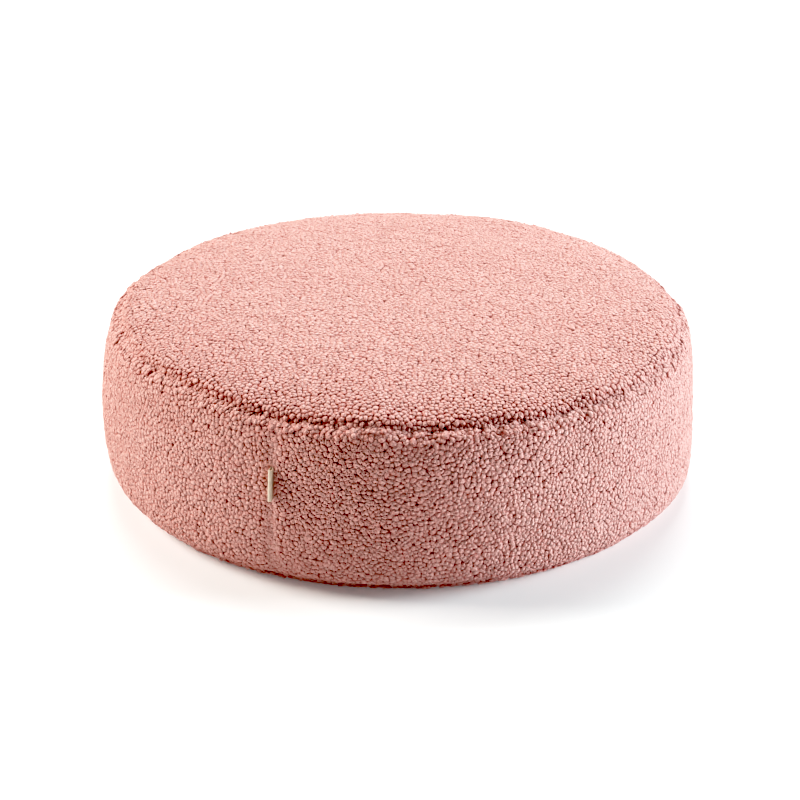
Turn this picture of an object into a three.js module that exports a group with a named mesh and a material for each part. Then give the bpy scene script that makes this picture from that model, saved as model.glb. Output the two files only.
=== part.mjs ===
// A round floor pouf of curly pile cloth: a firm filled drum with a soft crown. A top panel, a side band
// and a base panel are sewn into one cover, and a small folded tag is caught in the seam that closes
// the band. The body is drawn to the tips of the pile.
// Millimetres, +Z up. The origin is the middle of the base, on the floor, and the front is towards -Y.
// An azimuth is in degrees from the front, positive towards +X.
import * as THREE from 'three';
import { mergeVertices } from 'three/addons/utils/BufferGeometryUtils.js';

// Filled body
const WIDEST_RADIUS = 300;
const FLOOR_RADIUS = 268;
const LOWER_SEAM_HEIGHT = 9;
const TOP_SEAM_HEIGHT = 168;
const TOP_SEAM_DRIFT = 4.5;

// Top panel: a broad crown with a small lip that turns down into the seam
const CROWN_RISE = 18;
const CROWN_FLATNESS = 3;
const CROWN_SHOULDER = 0.7;
const LIP_RISE = 3;
const LIP_WIDTH = 5;

// Seam that closes the band, a little left of the front
const BAND_SEAM_AZIMUTH = -22.6;
const BAND_SEAM_LEAN = 0.9;
const BAND_SEAM_DEPTH = 3;

// Folded tag in that seam
const TAG_HEIGHT = 31;
const TAG_MIDDLE = 109;
const TAG_REACH = 8.5;
const TAG_LAYER = 1;
const TAG_ROOT_GAP = 0.5;
const TAG_FOLD_GAP = 1.8;
const TAG_LEAN = 17;
const TAG_CLEARANCE = 0.9;

// Underside from the floor to the lower seam: share of the way out, and share of the way up
const undersideSection = [
  { out: 0, up: 0 },
  { out: 0.5, up: 0.13 },
  { out: 0.9, up: 0.42 },
  { out: 1.06, up: 0.76 },
];

// Band from the lower seam to the top seam: share of its height, and inset from the widest radius
const bandSection = [
  { share: 0, inset: 15 },
  { share: 0.014, inset: 10.5 },
  { share: 0.04, inset: 6.6 },
  { share: 0.1, inset: 3 },
  { share: 0.17, inset: 1.4 },
  { share: 0.25, inset: 0.5 },
  { share: 0.38, inset: 0 },
  { share: 0.5, inset: 0.3 },
  { share: 0.6, inset: 0.9 },
  { share: 0.7, inset: 2 },
  { share: 0.78, inset: 3.4 },
  { share: 0.85, inset: 5.2 },
  { share: 0.905, inset: 7 },
  { share: 0.945, inset: 8.2 },
  { share: 0.972, inset: 9.6 },
  { share: 0.99, inset: 12.6 },
  { share: 1, inset: 16 },
];

const TOP_SEAM_RADIUS = WIDEST_RADIUS - bandSection.at(-1).inset;

// Top panel from the seam to the middle, as shares of the seam's radius
const topShares = [0.993, 0.984, 0.968, 0.945, 0.915, 0.875, 0.82, 0.74, 0.64, 0.52, 0.39, 0.26, 0.13, 0];

// Top seam's rise above or below its mean height
const seamWander = [
  { azimuth: -165, lift: -1.5 },
  { azimuth: -135, lift: 0 },
  { azimuth: -90, lift: 3 },
  { azimuth: -67, lift: 1 },
  { azimuth: -52, lift: 5 },
  { azimuth: -38, lift: 4.6 },
  { azimuth: -21, lift: -0.2 },
  { azimuth: -5, lift: 3 },
  { azimuth: 6, lift: 0.2 },
  { azimuth: 19, lift: 2.8 },
  { azimuth: 34, lift: 0 },
  { azimuth: 42, lift: 1 },
  { azimuth: 57, lift: -2.8 },
  { azimuth: 75, lift: 0.4 },
  { azimuth: 115, lift: -0.5 },
  { azimuth: 150, lift: 1.5 },
];

// Fullness of the filling round the drum
const fillSwell = [
  { azimuth: -150, out: 0.4 },
  { azimuth: -90, out: 0.6 },
  { azimuth: -50, out: -0.6 },
  { azimuth: -15, out: 0.5 },
  { azimuth: 30, out: -0.4 },
  { azimuth: 90, out: -1.8 },
  { azimuth: 150, out: 0.8 },
];

// Fullness of the foot, where the filling has settled more to one side
const footSwell = [
  { azimuth: -120, out: 0 },
  { azimuth: -75, out: -2 },
  { azimuth: -40, out: 1.5 },
  { azimuth: 0, out: -1 },
  { azimuth: 35, out: 1.5 },
  { azimuth: 74, out: 9.5 },
  { azimuth: 130, out: 2 },
];

// Soft puckers that run down the band from the top seam
const puckers = [
  { azimuth: -118, width: 5, depth: 1.2, reach: 45 },
  { azimuth: -72, width: 4.5, depth: 1.1, reach: 40 },
  { azimuth: -42, width: 4.5, depth: 1, reach: 35 },
  { azimuth: 5, width: 4, depth: 0.8, reach: 30 },
  { azimuth: 18, width: 4, depth: 1.1, reach: 45 },
  { azimuth: 34, width: 4.5, depth: 1.9, reach: 80 },
  { azimuth: 61, width: 5, depth: 1.2, reach: 40 },
  { azimuth: 104, width: 5, depth: 1.2, reach: 45 },
  { azimuth: 143, width: 5, depth: 1, reach: 40 },
  { azimuth: 176, width: 5, depth: 1.2, reach: 45 },
];
const PUCKER_TOP_REACH = 30;

// How fast each unevenness fades away from the place where it is greatest
const WANDER_FADE_DOWN = 2;
const WANDER_FADE_IN = 5;
const DRIFT_FADE_DOWN = 3;
const FOOT_FADE_UP = 3;
const GROOVE_FADE = 0.3;

// Columns of the surface: evenly spaced, with finer ones across the band seam
const COLUMN_COUNT = 100;
const seamColumns = [
  { offset: -1.7, sunk: 0 },
  { offset: -0.9, sunk: 0.4 },
  { offset: -0.37, sunk: 1 },
  { offset: 0, sunk: 1 },
  { offset: 0.37, sunk: 1 },
  { offset: 0.9, sunk: 0.4 },
  { offset: 1.7, sunk: 0 },
];
const CURVE_STEPS = 8;

const { degToRad, euclideanModulo, lerp, smoothstep } = THREE.MathUtils;

// Smooth value at an azimuth, from a table whose rows go once round the drum
function around(table, column, azimuth) {
  const after = table.findIndex((row) => row.azimuth > azimuth);
  const next = table[after < 0 ? 0 : after];
  const last = table[euclideanModulo((after < 0 ? 0 : after) - 1, table.length)];
  const span = euclideanModulo(next.azimuth - last.azimuth, 360);
  const way = euclideanModulo(azimuth - last.azimuth, 360) / span;
  return lerp(last[column], next[column], smoothstep(way, 0, 1));
}

// Shortest turn between two azimuths
function turnBetween(first, second) {
  return euclideanModulo(first - second + 180, 360) - 180;
}

// Rows of the section, from the middle of the base to the middle of the top
function sectionRows() {
  const bandHeight = TOP_SEAM_HEIGHT - LOWER_SEAM_HEIGHT;
  const lowerSeamRadius = WIDEST_RADIUS - bandSection[0].inset;
  const rows = [{ radius: 0, height: 0, panel: 'base' }];
  for (const { out, up } of undersideSection) {
    const radius = lerp(FLOOR_RADIUS, lowerSeamRadius, out);
    rows.push({ radius, height: LOWER_SEAM_HEIGHT * up, panel: 'base' });
  }
  for (const { share, inset } of bandSection) {
    const height = LOWER_SEAM_HEIGHT + bandHeight * share;
    rows.push({ radius: WIDEST_RADIUS - inset, height, panel: 'band' });
  }
  for (const share of topShares) {
    const lip = LIP_RISE * (1 - Math.exp(-TOP_SEAM_RADIUS * (1 - share) / LIP_WIDTH));
    const crown = CROWN_RISE * (1 - share ** CROWN_FLATNESS) ** CROWN_SHOULDER;
    rows.push({ radius: TOP_SEAM_RADIUS * share, height: TOP_SEAM_HEIGHT + lip + crown, panel: 'top' });
  }
  return rows;
}

// Azimuths of the columns, with how far each lies down in the band seam
function surfaceColumns() {
  const reach = seamColumns.at(-1).offset;
  const spacing = 360 / COLUMN_COUNT;
  const columns = seamColumns.map(({ offset, sunk }) => ({ azimuth: BAND_SEAM_AZIMUTH + offset, sunk }));
  for (let i = 0; i < COLUMN_COUNT; i += 1) {
    const azimuth = -180 + i * spacing;
    if (Math.abs(turnBetween(azimuth, BAND_SEAM_AZIMUTH)) > reach + spacing / 3) {
      columns.push({ azimuth, sunk: 0 });
    }
  }
  return columns.sort((first, second) => first.azimuth - second.azimuth);
}

// How far the puckers draw a point in: full at the top seam, and less away from it
function puckerDepth(row, azimuth) {
  let depth = 0;
  const onTop = row.panel === 'top';
  const away = onTop ? TOP_SEAM_RADIUS - row.radius : TOP_SEAM_HEIGHT - row.height;
  for (const pucker of puckers) {
    const along = away / (onTop ? PUCKER_TOP_REACH : pucker.reach);
    const across = turnBetween(azimuth, pucker.azimuth) / pucker.width;
    depth += pucker.depth * Math.exp(-(across ** 2) - along ** 2);
  }
  return depth;
}

// A point of the uneven body
function bodyPoint(row, column) {
  const raised = Math.min(row.height / TOP_SEAM_HEIGHT, 1);
  const outer = Math.min(row.radius / TOP_SEAM_RADIUS, 1);
  const wanderShare = raised ** WANDER_FADE_DOWN * outer ** WANDER_FADE_IN;
  const wander = around(seamWander, 'lift', column.azimuth) * wanderShare;
  const swell = around(fillSwell, 'out', column.azimuth) * raised * outer;
  const foot = around(footSwell, 'out', column.azimuth) * (1 - raised) ** FOOT_FADE_UP * outer;
  const groove = column.sunk * BAND_SEAM_DEPTH * Math.sin(Math.PI * raised) ** GROOVE_FADE;
  const drawn = puckerDepth(row, column.azimuth);
  const inward = row.panel === 'band' ? groove + drawn : 0;
  const downward = row.panel === 'top' ? drawn : 0;
  const radius = row.radius + swell + foot - inward;
  const angle = degToRad(column.azimuth + BAND_SEAM_LEAN * (0.5 - raised));
  return new THREE.Vector3(
    radius * Math.sin(angle) + TOP_SEAM_DRIFT * raised ** DRIFT_FADE_DOWN,
    -radius * Math.cos(angle),
    row.height + wander - downward,
  );
}

// Closed surface of the body: a lathe whose columns and rows are set to the uneven form
function bodyGeometry() {
  const rows = sectionRows();
  const columns = surfaceColumns();
  const profile = rows.map(({ radius, height }) => new THREE.Vector2(radius, height));
  const geometry = new THREE.LatheGeometry(profile, columns.length);
  const { position } = geometry.attributes;
  for (let i = 0; i <= columns.length; i += 1) {
    rows.forEach((row, j) => {
      const point = bodyPoint(row, columns[i % columns.length]);
      position.setXYZ(i * rows.length + j, point.x, point.y, point.z);
    });
  }
  geometry.deleteAttribute('normal');
  geometry.deleteAttribute('uv');
  return mergeVertices(geometry);
}

// Point at the bottom of the band seam, at a height
function seamPoint(height) {
  const column = { azimuth: BAND_SEAM_AZIMUTH, sunk: 1 };
  const line = sectionRows().filter((row) => row.panel === 'band').map((row) => bodyPoint(row, column));
  const above = line.findIndex((point) => point.z > height);
  const way = (height - line[above - 1].z) / (line[above].z - line[above - 1].z);
  return line[above - 1].clone().lerp(line[above], way);
}

// Section of the folded tag: two layers, pinched at the seam, that open towards their round fold
function tagSection() {
  const rootInner = TAG_ROOT_GAP / 2;
  const rootOuter = TAG_LAYER + rootInner;
  const foldInner = TAG_FOLD_GAP / 2;
  const foldOuter = TAG_LAYER + foldInner;
  const turn = TAG_REACH - foldOuter;
  const section = new THREE.Shape();
  section.moveTo(0, -rootOuter);
  section.lineTo(turn, -foldOuter);
  section.absarc(turn, 0, foldOuter, -Math.PI / 2, Math.PI / 2, false);
  section.lineTo(0, rootOuter);
  section.lineTo(0, rootInner);
  section.lineTo(turn, foldInner);
  section.absarc(turn, 0, foldInner, Math.PI / 2, -Math.PI / 2, true);
  section.lineTo(0, -rootInner);
  section.closePath();
  return section;
}

// Tag standing out of the seam, in line with the band's slope and leaning to the front
function tagMesh() {
  const geometry = new THREE.ExtrudeGeometry(tagSection(), {
    depth: TAG_HEIGHT,
    bevelEnabled: false,
    curveSegments: CURVE_STEPS,
  });
  geometry.translate(0, 0, -TAG_HEIGHT / 2);
  const low = seamPoint(TAG_MIDDLE - TAG_HEIGHT / 2);
  const high = seamPoint(TAG_MIDDLE + TAG_HEIGHT / 2);
  const along = high.clone().sub(low).normalize();
  const outward = new THREE.Vector3(low.x, low.y, 0).normalize();
  outward.addScaledVector(along, -outward.dot(along)).normalize();
  const root = low.add(high).multiplyScalar(0.5).addScaledVector(outward, TAG_CLEARANCE);
  const leaning = outward.clone().applyAxisAngle(along, degToRad(TAG_LEAN));
  const across = along.clone().cross(leaning);
  const mesh = new THREE.Mesh(geometry, tagTape);
  mesh.quaternion.setFromRotationMatrix(new THREE.Matrix4().makeBasis(leaning, across, along));
  mesh.position.copy(root);
  mesh.name = 'side_tag';
  return mesh;
}

const pileCloth = new THREE.MeshStandardMaterial({ color: '#cf8f86', roughness: 0.95, metalness: 0 });
const tagTape = new THREE.MeshStandardMaterial({ color: '#d8c9a9', roughness: 0.85, metalness: 0 });

const body = new THREE.Mesh(bodyGeometry(), pileCloth);
body.name = 'pouf_body';

const pouf = new THREE.Group();
pouf.add(body, tagMesh());

export default pouf;
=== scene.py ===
import math
import random

import bmesh
import bpy
import numpy as np
from mathutils import Matrix, Vector, kdtree, noise
from mathutils.bvhtree import BVHTree


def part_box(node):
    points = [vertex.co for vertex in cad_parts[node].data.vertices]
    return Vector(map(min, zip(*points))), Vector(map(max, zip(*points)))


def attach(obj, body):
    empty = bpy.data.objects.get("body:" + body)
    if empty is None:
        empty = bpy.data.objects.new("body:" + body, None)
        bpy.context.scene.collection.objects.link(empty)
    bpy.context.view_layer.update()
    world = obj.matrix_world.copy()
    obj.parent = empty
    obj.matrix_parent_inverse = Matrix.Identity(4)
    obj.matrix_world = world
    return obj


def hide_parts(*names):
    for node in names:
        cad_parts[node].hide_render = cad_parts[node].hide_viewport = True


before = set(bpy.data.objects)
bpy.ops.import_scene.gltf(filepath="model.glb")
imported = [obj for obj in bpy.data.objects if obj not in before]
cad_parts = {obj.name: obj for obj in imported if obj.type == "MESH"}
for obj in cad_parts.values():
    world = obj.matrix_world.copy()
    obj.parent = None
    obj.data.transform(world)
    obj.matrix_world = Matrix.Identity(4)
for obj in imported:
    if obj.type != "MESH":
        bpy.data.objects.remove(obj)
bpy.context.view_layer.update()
scene = bpy.context.scene
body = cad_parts["pouf_body"]

weld = 1e-5  # points nearer than this are one
hair = 1e-4  # smaller than any shape here
tiny = 1e-6  # keeps a division away from zero

# camera at the photograph's angle
photoView = {
    "aim": (0.0032, 0.0, 0.0684),
    "distance": 2.4,
    "elevation": 24.54,  # degrees above the floor
    "roll": 0.62,  # degrees
    "focal": 2342.4,  # in pixels of the photograph
    "imageWidth": 800,
    "sensor": 36.0,
}


def makeCamera():
    lens = bpy.data.cameras.new("photoCamera")
    lens.sensor_width = photoView["sensor"]
    lens.lens = photoView["focal"] * photoView["sensor"] / photoView["imageWidth"]
    camera = bpy.data.objects.new("photoCamera", lens)
    scene.collection.objects.link(camera)
    back = Matrix.Rotation(-math.radians(photoView["elevation"]), 3, "X") @ Vector((0, -1, 0))
    place = Vector(photoView["aim"]) + back * photoView["distance"]
    facing = Matrix.Rotation(math.radians(90 - photoView["elevation"]), 4, "X")
    roll = Matrix.Rotation(math.radians(photoView["roll"]), 4, "Z")
    camera.matrix_world = Matrix.Translation(place) @ facing @ roll
    scene.camera = camera


makeCamera()
print("camera set")


# shader maths: a socket that takes part in sums, and the tree that it belongs to
class Wire:
    def __init__(self, finish, socket):
        self.finish = finish
        self.socket = socket

    def combine(self, operation, first, second):
        return self.finish.node("ShaderNodeMath", {"operation": operation}, {0: first, 1: second})

    def __add__(self, other):
        return self.combine("ADD", self, other)

    def __sub__(self, other):
        return self.combine("SUBTRACT", self, other)

    def __rsub__(self, other):
        return self.combine("SUBTRACT", other, self)

    def __mul__(self, other):
        return self.combine("MULTIPLY", self, other)

    __radd__ = __add__
    __rmul__ = __mul__


class Finish:
    def __init__(self, name):
        self.material = bpy.data.materials.new(name)
        self.material.use_nodes = True
        self.tree = self.material.node_tree
        self.tree.nodes.clear()

    def node(self, kind, settings, sockets, out=0):
        made = self.tree.nodes.new(kind)
        for name, value in settings.items():
            setattr(made, name, value)
        for name, value in sockets.items():
            if isinstance(value, Wire):
                self.tree.links.new(value.socket, made.inputs[name])
            else:
                made.inputs[name].default_value = value
        return Wire(self, made.outputs[out]) if made.outputs else None

    def place(self):
        return self.node("ShaderNodeTexCoord", {}, {}, "Object")

    def attribute(self, name):
        return self.node("ShaderNodeAttribute", {"attribute_name": name}, {}, "Fac")

    def clouds(self, scale, detail=2.0, rough=0.5):
        sockets = {"Vector": self.place(), "Scale": scale, "Detail": detail, "Roughness": rough}
        return self.node("ShaderNodeTexNoise", {}, sockets, "Fac")

    def blend(self, share, first, second):
        return self.node("ShaderNodeMix", {"data_type": "RGBA"}, {0: share, 6: first, 7: second}, 2)

    def bump(self, height, strength, depth, under=None):
        sockets = {"Height": height, "Strength": strength, "Distance": depth}
        if under:
            sockets["Normal"] = under
        return self.node("ShaderNodeBump", {}, sockets)

    def shade(self, sockets):
        surface = self.node("ShaderNodeBsdfPrincipled", {}, sockets)
        self.node("ShaderNodeOutputMaterial", {}, {"Surface": surface})
        return self.material


# cloth colours, as linear light
rose = {
    "tip": (0.86, 0.425, 0.38, 1),
    # root: painted shade for the creases, darker and redder where the curls meet
    "root": (0.70, 0.25, 0.22, 1),
    # a paler colour that paints a highlight on the lumps near the tips of the curls
    "paintedHighlight": (0.94, 0.58, 0.53, 1),
    "deep": (0.72, 0.285, 0.25, 1),
    "sheen": (1.0, 0.90, 0.89, 1),
}
curlLook = {
    "fibres": (1500, 3, 0.6),  # scale, detail and roughness of a pattern
    "fibreBump": (0.5, 0.0006),  # strength and depth
    "lumps": (620, 2, 0.6),
    "lumpBump": (1.0, 0.0038),
    "drift": (14, 2),
    "specular": 0.1,
    "sheen": 0.37,
    "sheenRoughness": 0.45,
}
backingLook = {
    "knit": (700, 3, 0.6),
    "knitBump": (0.6, 0.001),
    "specular": 0.2,
    "sheen": 0.2,
}


def curlFinish():
    finish = Finish("roseCurls")
    tone = finish.attribute("tone")
    rise = finish.attribute("rise")
    fibres = finish.clouds(*curlLook["fibres"])
    lumps = finish.clouds(*curlLook["lumps"])
    drift = finish.clouds(*curlLook["drift"])
    # curl by curl tone, then a painted highlight, paler on the lumps near its tip, then painted shade,
    # darker at its root in the creases between curls
    colour = finish.blend(tone * 0.6 + drift * 0.5 - 0.05, rose["deep"], rose["tip"])
    colour = finish.blend(lumps * 2.4 + rise * 1.2 - 1.9, colour, rose["paintedHighlight"])
    colour = finish.blend(rise * 2.6 - 0.8, rose["root"], colour)
    lumpy = finish.bump(lumps, *curlLook["lumpBump"])
    return finish.shade({
        "Base Color": colour,
        "Roughness": 0.9 - fibres * 0.12,
        "Normal": finish.bump(fibres, *curlLook["fibreBump"], lumpy),
        "Specular IOR Level": curlLook["specular"],
        "Sheen Weight": curlLook["sheen"],
        "Sheen Roughness": curlLook["sheenRoughness"],
        "Sheen Tint": rose["sheen"],
    })


# the backing shows only in the creases between curls, so it is painted with the crease shade colours
def backingFinish():
    finish = Finish("roseBacking")
    knit = finish.clouds(*backingLook["knit"])
    return finish.shade({
        "Base Color": finish.blend(knit, rose["root"], rose["deep"]),
        "Roughness": 0.95 - knit * 0.1,
        "Normal": finish.bump(knit, *backingLook["knitBump"]),
        "Specular IOR Level": backingLook["specular"],
        "Sheen Weight": backingLook["sheen"],
        "Sheen Tint": rose["sheen"],
    })


def newPiece(name, mesh, finish):
    piece = bpy.data.objects.new(name, mesh)
    scene.collection.objects.link(piece)
    mesh.materials.clear()
    mesh.materials.append(finish)
    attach(piece, "root")
    return piece


def cornersOf(face):  # counted from the lowest
    corners = [v.index for v in face.verts]
    start = corners.index(min(corners))
    return corners[start:] + corners[:start]


listing = Vector((1.0, 3.7, 11.3))  # points are listed along this way


def settledMesh(name, bm):  # each run lists the points and faces alike
    bm.verts.sort(key=lambda v: v.co.dot(listing))
    bm.verts.index_update()
    points = [v.co.copy() for v in bm.verts]
    faces = sorted((cornersOf(f), f.smooth) for f in bm.faces)
    bm.free()
    mesh = bpy.data.meshes.new(name)
    mesh.from_pydata(points, [], [corners for corners, isSmooth in faces])
    mesh.polygons.foreach_set("use_smooth", [isSmooth for corners, isSmooth in faces])
    return mesh


# the seams are the lines where the body folds in
seamRules = {
    "fold": math.radians(-18),  # sharper than this is a seam
    "upright": 0.8,  # steeper edges belong to the band's closing seam
    "topAbove": 0.12,
    "lowBelow": 0.03,
    "topSlope": 0.9,  # the top panel lies above a line of this slope through its seam
    "wander": ((47, 0.0004), (83, 0.0004), (151, 0.0003)),  # waves round a seam, and how far they stray
    "noSeam": 1.0,  # distance that is given where there is no seam
}


def bodyCopy():
    bm = bmesh.new()
    bm.from_mesh(body.data)
    bmesh.ops.remove_doubles(bm, verts=bm.verts, dist=weld)
    bm.normal_update()
    return bm


def azimuthOf(points):
    return np.degrees(np.arctan2(points[:, 0], -points[:, 1]))


def findSeams():
    bm = bodyCopy()
    found = {"top": set(), "low": set(), "band": set()}
    for edge in bm.edges:
        if not edge.is_manifold or edge.calc_face_angle_signed(0) > seamRules["fold"]:
            continue
        ends = [tuple(v.co) for v in edge.verts]
        along = (edge.verts[1].co - edge.verts[0].co).normalized()
        height = (ends[0][2] + ends[1][2]) / 2
        if abs(along.z) > seamRules["upright"]:
            found["band"].update(ends)
        elif height > seamRules["topAbove"]:
            found["top"].update(ends)
        elif height < seamRules["lowBelow"]:
            found["low"].update(ends)
    bm.free()
    return {name: np.array(sorted(points)) for name, points in found.items()}


class RingSeam:  # a seam all round, read at any azimuth
    def __init__(self, points):
        turn = azimuthOf(points)
        order = np.argsort(turn)
        self.turn = turn[order]
        self.radius = np.hypot(points[:, 0], points[:, 1])[order]
        self.height = points[order, 2]

    def sink(self, inward, downward):
        self.radius = self.radius - inward
        self.height = self.height - downward

    def at(self, points):
        turn = azimuthOf(points)
        radius = np.interp(turn, self.turn, self.radius, period=360)
        height = np.interp(turn, self.turn, self.height, period=360)
        for count, stray in seamRules["wander"]:
            height = height + stray * np.sin(np.radians(turn) * count + count)
        return radius, height

    def away(self, points):
        radius, height = self.at(points)
        return np.hypot(np.hypot(points[:, 0], points[:, 1]) - radius, points[:, 2] - height)


class UprightSeam:  # the seam that closes the band, a straight line read at any height
    def __init__(self, points):
        order = np.argsort(points[:, 2])
        height = points[order, 2]
        self.low, self.high = height[0], height[-1]
        self.slope, self.start = np.polyfit(height, azimuthOf(points)[order], 1)

    def away(self, points):
        turn = self.start + self.slope * points[:, 2]
        aside = np.radians(azimuthOf(points) - turn) * np.hypot(points[:, 0], points[:, 1])
        inside = (points[:, 2] > self.low) & (points[:, 2] < self.high)
        return np.where(inside, np.abs(aside), seamRules["noSeam"])


seamPoints = findSeams()
seams = {
    "top": RingSeam(seamPoints["top"]),
    "low": RingSeam(seamPoints["low"]),
    "band": UprightSeam(seamPoints["band"]),
}
print("seams found", {name: len(points) for name, points in seamPoints.items()})

# the filled cover, swelled by its filling between the seams that hold it
coverMake = {
    "pile": 0.0025,  # backing below the tips of the curls
    "swell": 0.005,  # most that the filling pushes it out
    "voxel": 0.008,
    "pressure": 4.0,
    "quality": 4,  # steps of the cloth in a frame
    "ease": 0.02,  # spare cloth, as a share of its size
    "frames": 20,
    "seamHold": 0.005,
    "floorHold": 0.004,
    "smooth": 0.5,
    "topSink": 0.7,  # the top seam lies this share of the pile inwards and down
    "waves": 0.0007,
    "waveSize": 0.05,
    "unevenSew": 0.35,
    "follow": 0.85,  # how closely it keeps to the body's form
    "fill": 0.85,
}
seamSew = {  # how far each seam draws the cover in, how wide, and which way (outwards, upwards)
    "top": {"depth": 0.0066, "reach": 0.0042, "way": (-0.75, -0.66)},
    "low": {"depth": 0.0006, "reach": 0.0050, "way": (-1.0, 0.0)},
    "band": {"depth": 0.0003, "reach": 0.0045, "way": (-1.0, 0.0)},
}
slackSew = (  # where the seams are drawn in less, in degrees
    {"azimuth": -5, "width": 14, "share": 0.5},
    {"azimuth": 72, "width": 26, "share": 0.48},
    {"azimuth": -80, "width": 30, "share": 0.25},
)
seams["top"].sink(coverMake["pile"] * coverMake["topSink"], coverMake["pile"] * coverMake["topSink"])
seams["low"].sink(coverMake["pile"], 0)


def seamAway(points):
    return np.min([seam.away(points) for seam in seams.values()], axis=0)


def meshPoints(mesh, field="co"):
    flat = np.empty(len(mesh.vertices) * 3)
    mesh.vertices.foreach_get(field, flat)
    return flat.reshape(-1, 3)


def setPoints(mesh, points):
    mesh.vertices.foreach_set("co", points.ravel())
    mesh.update()


def coverStart():
    bm = bodyCopy()
    inset = coverMake["pile"] + coverMake["swell"]
    for v in bm.verts:
        resting = v.co.z < hair
        v.co -= v.normal * inset
        if resting:
            v.co.z = 0
    mesh = bpy.data.meshes.new("pouf_cover")
    bm.to_mesh(mesh)
    bm.free()
    return mesh


def finishedMesh(piece):
    shown = piece.evaluated_get(bpy.context.evaluated_depsgraph_get())
    made = bpy.data.meshes.new_from_object(shown)
    piece.modifiers.clear()
    old = piece.data
    piece.data = made
    bpy.data.meshes.remove(old)
    made.name = piece.name


def evenGrid(piece):
    grid = piece.modifiers.new("even grid", "REMESH")
    grid.mode = "VOXEL"
    grid.voxel_size = coverMake["voxel"]
    finishedMesh(piece)


def swelled(piece):
    rest = meshPoints(piece.data)
    rings = np.minimum(seams["top"].away(rest), seams["low"].away(rest))
    sewn = (rings < coverMake["seamHold"]) | (rest[:, 2] < coverMake["floorHold"])
    group = piece.vertex_groups.new(name="sewn")
    group.add([int(i) for i in np.flatnonzero(sewn)], 1.0, "REPLACE")
    filling = piece.modifiers.new("filling", "CLOTH")
    filling.settings.quality = coverMake["quality"]
    filling.settings.use_pressure = True
    filling.settings.uniform_pressure_force = coverMake["pressure"]
    filling.settings.shrink_min = -coverMake["ease"]
    filling.settings.vertex_group_mass = "sewn"
    filling.settings.effector_weights.gravity = 0
    filling.collision_settings.use_collision = False
    filling.point_cache.frame_end = coverMake["frames"]
    for step in range(1, coverMake["frames"] + 1):
        scene.frame_set(step)
    pushed = meshPoints(piece.evaluated_get(bpy.context.evaluated_depsgraph_get()).data)
    scene.frame_set(1)
    piece.modifiers.clear()
    piece.vertex_groups.clear()
    move = pushed - rest
    far = np.linalg.norm(move, axis=1, keepdims=True)
    move *= np.minimum(1, coverMake["swell"] / np.maximum(far, tiny))
    setPoints(piece.data, rest + move)
    average = float(np.linalg.norm(move, axis=1).mean()) * 1000
    print("filling pushes the cover out by", round(average, 2), "mm on average")


def smoothed(piece):
    bm = bmesh.new()
    bm.from_mesh(piece.data)
    loose = [v for v in bm.verts if v.co.z > coverMake["floorHold"]]
    axes = {"use_axis_x": True, "use_axis_y": True, "use_axis_z": True}
    bmesh.ops.smooth_vert(bm, verts=loose, factor=coverMake["smooth"], **axes)
    for face in bm.faces:
        face.smooth = True
    bm.to_mesh(piece.data)
    bm.free()


def fitted(piece):
    bm = bodyCopy()
    tree = BVHTree.FromBMesh(bm)
    points = meshPoints(piece.data)
    moved = points.copy()
    for i, point in enumerate(points):
        if point[2] > coverMake["floorHold"]:
            at, facing = tree.find_nearest(point)[:2]
            depth = (at - Vector(point)).dot(facing)
            moved[i] += np.array(facing) * ((depth - coverMake["pile"]) * coverMake["follow"])
    bm.free()
    setPoints(piece.data, moved)


def drawnIn(piece):
    points = meshPoints(piece.data)
    facing = meshPoints(piece.data, "normal")
    wave = np.array([noise.noise(Vector(p) / coverMake["waveSize"]) for p in points])
    lifted = points[:, 2] > coverMake["floorHold"]
    moved = points + facing * (wave * lifted * coverMake["waves"])[:, None]
    around = np.hypot(points[:, 0], points[:, 1])
    turn = azimuthOf(points)
    slack = sum(row["share"] * np.exp(-((turn - row["azimuth"]) / row["width"]) ** 2) for row in slackSew)
    for name, seam in seams.items():
        sew = seamSew[name]
        pull = sew["depth"] * np.exp(-(seam.away(points) / sew["reach"]) ** 2) * lifted
        pull *= (1 + coverMake["unevenSew"] * wave) * (1 - slack)
        moved[:, 0] += points[:, 0] / around * pull * sew["way"][0]
        moved[:, 1] += points[:, 1] / around * pull * sew["way"][0]
        moved[:, 2] += pull * sew["way"][1]
    setPoints(piece.data, moved)


def makeCover():
    piece = newPiece("pouf_cover", coverStart(), backingFinish())
    evenGrid(piece)
    swelled(piece)
    smoothed(piece)
    rounder = piece.modifiers.new("rounder", "SUBSURF")
    rounder.levels = rounder.render_levels = 1
    finishedMesh(piece)
    fitted(piece)
    drawnIn(piece)
    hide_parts("pouf_body")
    return piece


cover = makeCover()
print("cover made,", len(cover.data.polygons), "faces")

# the tag: a folded tape that is caught in the band's upright seam
tagMake = {
    "tuck": 0.0035,  # length that reaches in between the curls
    "rows": 16,
    "level": 0.7,  # faces that look up or down more than this are the tape's cut edges
    "flatAngle": 0.02,  # faces that turn less than this are joined, in radians
    "sway": 0.0006,
    "swaySize": 0.014,
    "softEdge": 0.00018,
    "flat": (0.031, 0.0247),  # the tape before it was folded
    "thread": 0.0005,
    "threadWander": 0.8,
    "slubs": (900, 3, 0.6),
    "slubBump": (0.3, 0.0003),
    "weaveBump": (0.6, 0.0002),
    "specular": 0.2,
    "sheen": 0.1,
    "cream": (0.76, 0.64, 0.52, 1),
    "shade": (0.60, 0.46, 0.35, 1),
}


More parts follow.
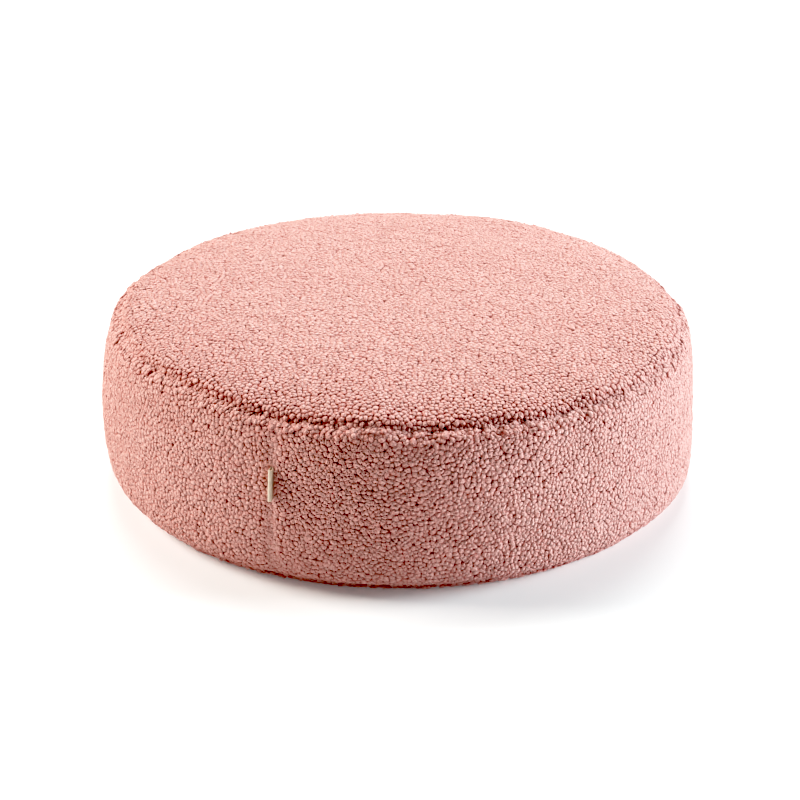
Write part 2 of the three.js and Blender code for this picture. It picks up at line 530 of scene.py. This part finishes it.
def tagFinish():
    finish = Finish("creamTape")
    bands = 2 * math.pi / (20 * tagMake["thread"])  # scale of the wave texture for one thread
    sockets = {"Vector": finish.place(), "Scale": bands, "Distortion": tagMake["threadWander"]}
    weft = finish.node("ShaderNodeTexWave", {"bands_direction": "Z"}, sockets, "Fac")
    warp = finish.node("ShaderNodeTexWave", {"bands_direction": "Y"}, sockets, "Fac")
    slubs = finish.clouds(*tagMake["slubs"])
    weave = weft * 0.5 + warp * 0.5
    slubbed = finish.bump(slubs, *tagMake["slubBump"])
    return finish.shade({
        "Base Color": finish.blend(weave * 0.6 + slubs * 0.6 - 0.1, tagMake["shade"], tagMake["cream"]),
        "Roughness": 0.92 - weave * 0.1,
        "Normal": finish.bump(weave, *tagMake["weaveBump"], slubbed),
        "Specular IOR Level": tagMake["specular"],
        "Sheen Weight": tagMake["sheen"],
    })


def makeTag():
    low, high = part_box("side_tag")
    bm = bmesh.new()
    bm.from_mesh(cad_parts["side_tag"].data)
    bmesh.ops.remove_doubles(bm, verts=bm.verts, dist=weld)
    bmesh.ops.dissolve_limit(bm, angle_limit=tagMake["flatAngle"], verts=bm.verts, edges=bm.edges)
    middle = (Vector(low) + Vector(high)) / 2
    outward = Vector((middle.x, middle.y, 0)).normalized()
    sideways = outward.cross(Vector((0, 0, 1)))
    reach = [v.co.dot(outward) for v in bm.verts]
    root, fold = min(reach), max(reach)
    tucked = [v for v in bm.verts if v.co.dot(outward) < (root + fold) / 2]
    bmesh.ops.translate(bm, verts=tucked, vec=outward * -tagMake["tuck"])
    for row in range(1, tagMake["rows"]):
        height = low[2] + (high[2] - low[2]) * row / tagMake["rows"]
        everything = bm.verts[:] + bm.edges[:] + bm.faces[:]
        bmesh.ops.bisect_plane(bm, geom=everything, plane_co=(0, 0, height), plane_no=(0, 0, 1))
    bm.normal_update()
    ends = [f for f in bm.faces if abs(f.normal.z) > tagMake["level"]]
    edges = list(dict.fromkeys(e for f in ends for e in f.edges))
    bmesh.ops.bevel(
        bm, geom=edges, offset=tagMake["softEdge"], affect="EDGES", segments=2, profile=0.5, material=-1
    )
    for v in bm.verts:
        share = max(0, v.co.dot(outward) - root) / (fold - root)
        height = v.co.z / tagMake["swaySize"]
        for way, line in ((sideways, 3), (outward, 9)):  # each way has a line of the noise to itself
            v.co += way * noise.noise((height, line, 0)) * tagMake["sway"] * share
    for face in bm.faces:
        face.smooth = abs(face.normal.z) < tagMake["level"]
    bmesh.ops.triangulate(bm, faces=[f for f in bm.faces if len(f.verts) > 4])
    bmesh.ops.recalc_face_normals(bm, faces=bm.faces)
    mesh = settledMesh("side_tag_tape", bm)
    piece = newPiece("side_tag_tape", mesh, tagFinish())
    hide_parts("side_tag")
    print("tag made,", len(mesh.polygons), "faces")


makeTag()

# the curls of the pile: closed little domes, crowded together on the cover
curlMake = {
    "seed": 11,
    "radii": (0.0042, 0.0031, 0.0022, 0.00155),
    "tries": (3000, 14000, 70000, 220000),
    "unevenSize": (0.92, 1.08),
    "bandSize": 0.95,  # curls of the band, as a share of the top's
    "crowding": 0.82,  # least distance between two curls, as a share of their radii together
    "lowestFacing": -0.9,  # none on cloth that looks further down than this
    "floorClear": 0.0004,
    "floorLift": 0.0002,
    "seamGap": 0.0004,  # bare cloth beside a seam
    "seamRoom": 0.4,  # and the share of a radius that is added to it
    "seamRise": 0.85,  # share of the rise that is left at a seam
    "seamFade": 0.004,
    "fadeCurve": 0.7,
    "edgeOpen": 0.13,  # share by which creases open towards the top's edge, most at the front
    "edgeReach": 0.09,
    "lineAzimuth": 72,  # where the top seam is a thin open line, in degrees
    "lineWidth": 30,
    "lineOpen": 1.2,
    "rollClose": 0.20,  # share by which they close on the roll under it, and how much that stands out
    "rollReach": 0.006,
    "rollRise": 0.0006,
    "bandClose": 0.25,  # the same beside the band's own seam
    "bandReach": 0.004,
    "bandRise": 0.0010,
    "shapes": 16,
    "sides": 8,
    "rings": 4,  # of the ball that a dome is cut from
    "bearings": 40,  # ways in which the room round a curl is measured
    "neighbours": 12,  # curls that share the room with each one
    "nearest": 6,  # the ones that its room is measured from
    "widest": 0.8,  # most half width, as a share of the room
    "spread": (1.08, 1.17),  # half width, as a share of the way to the crease between two curls
    "height": (0.34, 0.44),  # as a share of the room
    "uneven": 0.30,
    "unevenScale": 1.6,
    "unevenRange": 50,  # each shape takes its own place in the noise, within this
    "point": -0.45,  # 0 for a round dome, more for a pointed one, less for one with steep sides
    "pole": 0.01,  # half width of the tip that this leaves alone
    "flat": 0.7,  # 1 for a round dome, less for a flat one
    "lean": 0.15,
    "rise": 0.0025,
    "unevenRise": 0.00015,
    "clumps": 0.0004,  # how much clumps of curls stand out or lie back
    "clumpSize": 0.011,
    "tilt": 0.07,
}
curlChart = {  # where a curl lies in its square of the UV map: middle and reach
    "dome": (0.5, 0.44),
    "underside": (0.1, 0.085),
}
panelPieces = {"top": 3, "band": 4}
gridSide = 4096  # cells along each side of the grid that finds curls close by


# the round dome that every curl starts from, its chart and which side each point is on
def makeDome():
    bm = bmesh.new()
    sides = curlMake["sides"]
    bmesh.ops.create_uvsphere(bm, u_segments=sides, v_segments=curlMake["rings"], radius=1.0)
    low = [v for v in bm.verts if v.co.z < -hair]
    bmesh.ops.delete(bm, geom=low, context="VERTS")
    rim = [e for e in bm.edges if e.is_boundary]
    bmesh.ops.contextual_create(bm, geom=rim)
    bmesh.ops.recalc_face_normals(bm, faces=bm.faces)
    first = max((v.co for e in rim for v in e.verts), key=lambda place: place.x)
    level = Matrix.Rotation(-math.atan2(first.y, first.x), 3, "Z")
    bmesh.ops.rotate(bm, verts=bm.verts, cent=(0, 0, 0), matrix=level)
    mesh = settledMesh("dome", bm)
    bm = bmesh.new()
    bm.from_mesh(mesh)
    bpy.data.meshes.remove(mesh)
    bmesh.ops.triangulate(bm, faces=bm.faces)
    ball = np.array([v.co for v in bm.verts])
    faces = np.array([cornersOf(f) for f in bm.faces])
    bm.free()
    polar = np.arccos(np.clip(ball[:, 2], 0, 1)) / (math.pi / 2)
    circle = ball[:, :2] / np.maximum(np.linalg.norm(ball[:, :2], axis=1, keepdims=True), tiny)
    middle, reach = curlChart["dome"]
    chart = (middle + reach * circle * polar[:, None])[faces]
    under = ball[faces][:, :, 2].max(axis=1) < hair
    middle, reach = curlChart["underside"]
    chart[under] = (middle + reach * circle)[faces[under]]
    side = np.round(np.arctan2(ball[:, 1], ball[:, 0]) * sides / (2 * math.pi)).astype(int) % sides
    return {"ball": ball, "faces": faces, "chart": chart, "side": side}


def curlShape(ball, draw):
    lean = Vector((draw.uniform(-1, 1), draw.uniform(-1, 1), 0)) * curlMake["lean"]
    seed = Vector([draw.uniform(0, curlMake["unevenRange"]) for axis in range(3)])
    points = [Vector(place) for place in ball]
    for point in points:
        steep = max(math.hypot(point.x, point.y), curlMake["pole"]) ** curlMake["point"]
        point *= 1 + curlMake["uneven"] * noise.noise(point * curlMake["unevenScale"] + seed)
        point.x *= steep
        point.y *= steep
        point.z = max(point.z, 0) ** curlMake["flat"]
        point += lean * point.z
    return np.array(points)


def coverSurface():
    mesh = cover.data
    mesh.calc_loop_triangles()
    corners = np.empty(len(mesh.loop_triangles) * 3, dtype=np.int32)
    mesh.loop_triangles.foreach_get("vertices", corners)
    return meshPoints(mesh), meshPoints(mesh, "normal"), corners.reshape(-1, 3)


def unit(vectors):
    return vectors / np.linalg.norm(vectors, axis=1, keepdims=True)


def spotsOn(surface, count, rng):
    points, normals, corners = surface
    a, b, c = (points[corners[:, i]] for i in range(3))
    area = np.linalg.norm(np.cross(b - a, c - a), axis=1)
    chosen = corners[rng.choice(len(corners), size=count, p=area / area.sum())]
    share = rng.random((count, 2))
    over = share.sum(axis=1) > 1
    share[over] = 1 - share[over]
    share = np.column_stack([1 - share.sum(axis=1), share])
    spots = np.einsum("ij,ijk->ik", share, points[chosen])
    return spots, unit(np.einsum("ij,ijk->ik", share, normals[chosen]))


def isTop(points):
    radius, height = seams["top"].at(points)
    out = np.hypot(points[:, 0], points[:, 1]) - radius
    above = points[:, 2] - height > out * seamRules["topSlope"]
    return above & (points[:, 2] > seamRules["topAbove"])


def isClear(grid, key, steps, spot, size):
    x, y, z = spot
    for step in steps:
        for px, py, pz, other in grid.get(key + step, ()):
            near = curlMake["crowding"] * (size + other)
            if (px - x) ** 2 + (py - y) ** 2 + (pz - z) ** 2 < near * near:
                return False
    return True


# large curls first, then smaller ones in the room that they leave
def scatter(surface, rng):
    cell = 2 * max(curlMake["radii"])
    strides = np.array([1, gridSide, gridSide ** 2])
    near = (-1, 0, 1)
    steps = [int(strides @ (x, y, z)) for x in near for y in near for z in near]
    grid = {}
    kept = {"spot": [], "facing": [], "seamAway": []}
    for radius, tries in zip(curlMake["radii"], curlMake["tries"]):
        spots, facing = spotsOn(surface, tries, rng)
        sizes = radius * rng.uniform(*curlMake["unevenSize"], tries)
        sizes = sizes * np.where(isTop(spots), 1, curlMake["bandSize"])
        away = seamAway(spots)
        allowed = away > curlMake["seamGap"] + sizes * curlMake["seamRoom"]
        allowed &= facing[:, 2] > curlMake["lowestFacing"]
        allowed &= spots[:, 2] + facing[:, 2] * curlMake["rise"] > curlMake["floorClear"]
        keys = (np.floor(spots / cell).astype(np.int64) + gridSide // 4) @ strides  # none below zero
        for i in np.flatnonzero(allowed):
            key = int(keys[i])
            if isClear(grid, key, steps, spots[i], sizes[i]):
                grid.setdefault(key, []).append((*spots[i], sizes[i]))
                kept["spot"].append(spots[i])
                kept["facing"].append(facing[i])
                kept["seamAway"].append(away[i])
    return {name: np.array(values) for name, values in kept.items()}


# how far each curl can reach, in every direction, before it meets its neighbours
def roomRound(curls, rng):
    spots = curls["spot"]
    tree = kdtree.KDTree(len(spots))
    for i, spot in enumerate(spots):
        tree.insert(spot, i)
    tree.balance()
    count = curlMake["neighbours"] + 1
    near = np.array([[i for at, i, far in tree.find_n(spot, count)] for spot in spots])[:, 1:]
    # no curl reaches over the top seam: its image beyond the seam counts as one more neighbour
    radius, height = seams["top"].at(spots)
    outward = unit(spots[:, :2])
    thin = np.exp(-((azimuthOf(spots) - curlMake["lineAzimuth"]) / curlMake["lineWidth"]) ** 2)
    mirror = np.column_stack([outward * radius[:, None], height]) - spots
    mirror *= (2 - curlMake["lineOpen"] * thin)[:, None]
    toward = np.concatenate([spots[near] - spots[:, None], mirror[:, None]], axis=1)
    far = np.linalg.norm(toward, axis=2)
    along = unit(np.cross(curls["facing"], rng.normal(size=spots.shape)))
    across = np.cross(curls["facing"], along)
    aside = np.einsum("ijk,ik->ij", toward, along)
    ahead = np.einsum("ijk,ik->ij", toward, across)
    bearings = np.arange(curlMake["bearings"]) * 2 * math.pi / curlMake["bearings"]
    room = far[:, :curlMake["nearest"]].mean(axis=1)
    reach = np.empty((len(spots), len(bearings)))
    for i, turn in enumerate(bearings):
        way = np.maximum(aside * math.cos(turn) + ahead * math.sin(turn), tiny)
        reach[:, i] = np.minimum((far ** 2 / 2 / way).min(axis=1), room * curlMake["widest"])
    # the sides of a curl face the ways with the most room
    steps = curlMake["bearings"] // curlMake["sides"]
    best = np.argmax([reach[:, i::steps].sum(axis=1) for i in range(steps)], axis=0)
    turn = bearings[best][:, None]
    chosen = best[:, None] + steps * np.arange(curlMake["sides"])
    curls["along"] = along * np.cos(turn) + across * np.sin(turn)
    curls["reach"] = np.take_along_axis(reach, chosen, axis=1)
    curls["room"] = room


def arrayMesh(name, points, faces, values, chart):
    mesh = bpy.data.meshes.new(name)
    mesh.vertices.add(len(points))
    mesh.vertices.foreach_set("co", points.ravel())
    mesh.loops.add(faces.size)
    mesh.loops.foreach_set("vertex_index", faces.ravel().astype(np.int32))
    mesh.polygons.add(len(faces))
    mesh.polygons.foreach_set("loop_start", np.arange(0, faces.size, 3, dtype=np.int32))
    mesh.polygons.foreach_set("use_smooth", np.ones(len(faces), dtype=bool))
    for label, numbers in values.items():
        layer = mesh.attributes.new(label, "FLOAT", "POINT")
        layer.data.foreach_set("value", numbers.astype(np.float32))
    layer = mesh.uv_layers.new(name="OFBake")
    layer.data.foreach_set("uv", chart.ravel().astype(np.float32))
    mesh.update()
    mesh.validate()
    return mesh


def curlMesh(name, curls, dome, shapes, rng):
    count = len(curls["spot"])
    up = unit(curls["facing"] + rng.normal(0, curlMake["tilt"] / 2, (count, 3)))
    across = unit(np.cross(up, curls["along"]))
    along = np.cross(across, up)
    ahead = (1 + np.cos(np.radians(azimuthOf(curls["spot"])))) / 2
    edge = curls["onTop"] * ahead ** 2 * np.exp(-(curls["topAway"] / curlMake["edgeReach"]) ** 2)
    roll = ~curls["onTop"] * np.exp(-(curls["topAway"] / curlMake["rollReach"]) ** 2)
    join = np.exp(-(curls["bandAway"] / curlMake["bandReach"]) ** 2)
    opened = 1 - curlMake["edgeOpen"] * edge + curlMake["rollClose"] * roll + curlMake["bandClose"] * join
    wide = curls["reach"] * (rng.uniform(*curlMake["spread"], count) * opened)[:, None]
    tall = curls["room"] * rng.uniform(*curlMake["height"], count)
    sewn = np.clip(curls["seamAway"] / curlMake["seamFade"], 0, 1) ** curlMake["fadeCurve"]
    rise = curlMake["rise"] * (curlMake["seamRise"] + (1 - curlMake["seamRise"]) * sewn)
    clump = [noise.noise(Vector(spot) / curlMake["clumpSize"]) for spot in curls["spot"]]
    rise = rise + rng.normal(0, curlMake["unevenRise"], count) + np.array(clump) * curlMake["clumps"]
    rise = rise + curlMake["rollRise"] * roll + curlMake["bandRise"] * join
    centre = curls["spot"] + curls["facing"] * (rise - tall)[:, None]
    kind = rng.integers(0, len(shapes), count)
    tone = rng.random(count)
    row = math.ceil(math.sqrt(count))  # squares in a row of the UV map
    points, faces, rises, tones, charts = [], [], [], [], []
    start = 0
    for number, local in enumerate(shapes):
        mine = np.flatnonzero(kind == number)
        reach = wide[mine][:, dome["side"], None]
        placed = (
            centre[mine, None, :]
            + along[mine, None, :] * (reach * local[None, :, 0, None])
            + across[mine, None, :] * (reach * local[None, :, 1, None])
            + up[mine, None, :] * (tall[mine, None, None] * local[None, :, 2, None])
        )
        points.append(placed.reshape(-1, 3))
        offset = start + np.arange(len(mine)) * len(local)
        faces.append((dome["faces"][None] + offset[:, None, None]).reshape(-1, 3))
        rises.append(np.tile(dome["ball"][:, 2], len(mine)))
        tones.append(np.repeat(tone[mine], len(local)))
        cells = np.stack([mine % row, mine // row], axis=1)
        charts.append(((cells[:, None, None, :] + dome["chart"][None]) / row).reshape(-1, 2))
        start += len(mine) * len(local)
    points = np.concatenate(points)
    points[:, 2] = np.maximum(points[:, 2], curlMake["floorLift"])
    # rise runs from a curl's rim to its tip; the finish paints shade low on it and a highlight high on it
    values = {"rise": np.concatenate(rises), "tone": np.concatenate(tones)}
    return arrayMesh(name, points, np.concatenate(faces), values, np.concatenate(charts))


def makeCurls():
    rng = np.random.default_rng(curlMake["seed"])
    draw = random.Random(curlMake["seed"])
    dome = makeDome()
    shapes = [curlShape(dome["ball"], draw) for turn in range(curlMake["shapes"])]
    curls = scatter(coverSurface(), rng)
    roomRound(curls, rng)
    room = round(curls["room"].mean() * 1000, 2)
    print("curls placed", len(curls["spot"]), "with", room, "mm between them")
    curls["onTop"] = onTop = isTop(curls["spot"])
    curls["topAway"] = seams["top"].away(curls["spot"])
    curls["bandAway"] = seams["band"].away(curls["spot"])
    turn = (azimuthOf(curls["spot"]) + 360) % 360
    finish = curlFinish()
    triangles = 0
    for panel, mine in (("top", onTop), ("band", ~onTop)):
        width = 360 / panelPieces[panel]
        for part in range(panelPieces[panel]):
            inPart = mine & (turn >= part * width) & (turn < (part + 1) * width)
            name = f"{panel}_curls_{part + 1}"
            inside = {key: values[inPart] for key, values in curls.items()}
            mesh = curlMesh(name, inside, dome, shapes, rng)
            newPiece(name, mesh, finish)
            triangles += len(mesh.polygons)
            print(name, int(inPart.sum()), "curls,", len(mesh.polygons), "triangles")
    print("triangles in all curls", triangles)


makeCurls()

# floor and soft studio light
studio = {
    "floor": 18.0,
    "floorColour": (0.86, 0.86, 0.86, 1),
    "floorGrain": (0.83, 0.83, 0.83, 1),
    "grain": (30, 3),  # scale and detail
    "floorGlow": 0.2,  # the floor is lit from below, as on a light table
    "world": 0.0,
    "distance": 6.2,
    "size": 3.0,
    "black": 0.085,  # light that the picture shows as black, and as white
    "white": 1.4,
    "tone": ((0.27, 0.355), (0.62, 0.73)),  # the picture's curve between them
    "lights": (  # azimuth from the front and elevation in degrees, power in watts, tint
        {"name": "softLeft", "azimuth": -103, "elevation": 30, "power": 840, "tint": (1.0, 0.94, 0.87)},
        {"name": "softRight", "azimuth": 96, "elevation": 15, "power": 1030, "tint": (0.94, 1.05, 1.10)},
        {"name": "softBack", "azimuth": 180, "elevation": 60, "power": 490, "tint": (0.97, 1.02, 1.01)},
    ),
}


def makeFloor():
    bm = bmesh.new()
    bmesh.ops.create_grid(bm, x_segments=1, y_segments=1, size=studio["floor"] / 2)
    mesh = bpy.data.meshes.new("floor")
    bm.to_mesh(mesh)
    bm.free()
    floor = bpy.data.objects.new("floor", mesh)
    scene.collection.objects.link(floor)
    finish = Finish("paleFloor")
    grain = finish.clouds(*studio["grain"])
    mesh.materials.append(finish.shade({
        "Base Color": finish.blend(grain, studio["floorColour"], studio["floorGrain"]),
        "Roughness": 0.9,
        "Specular IOR Level": 0.1,
        "Emission Color": studio["floorColour"],
        "Emission Strength": studio["floorGlow"],
    }))


def makeLights():
    world = bpy.data.worlds.new("studio")
    world.use_nodes = True
    world.node_tree.nodes["Background"].inputs["Color"].default_value = (1, 1, 1, 1)
    world.node_tree.nodes["Background"].inputs["Strength"].default_value = studio["world"]
    scene.world = world
    for row in studio["lights"]:
        lamp = bpy.data.lights.new(row["name"], "AREA")
        lamp.energy = row["power"]
        lamp.color = row["tint"]
        lamp.size = studio["size"]
        light = bpy.data.objects.new(row["name"], lamp)
        scene.collection.objects.link(light)
        turn, lift = math.radians(row["azimuth"]), math.radians(row["elevation"])
        way = Vector((math.sin(turn) * math.cos(lift), -math.cos(turn) * math.cos(lift), math.sin(lift)))
        light.location = way * studio["distance"]
        light.rotation_euler = way.to_track_quat("Z", "Y").to_euler()


def setTone():
    view = scene.view_settings
    view.view_transform = "Standard"
    view.use_curve_mapping = True
    view.curve_mapping.black_level = [studio["black"]] * 3
    view.curve_mapping.white_level = [studio["white"]] * 3
    red, green, blue, together = view.curve_mapping.curves
    for point in studio["tone"]:
        together.points.new(*point)
    view.curve_mapping.update()


makeFloor()
makeLights()
setTone()
print("studio set")
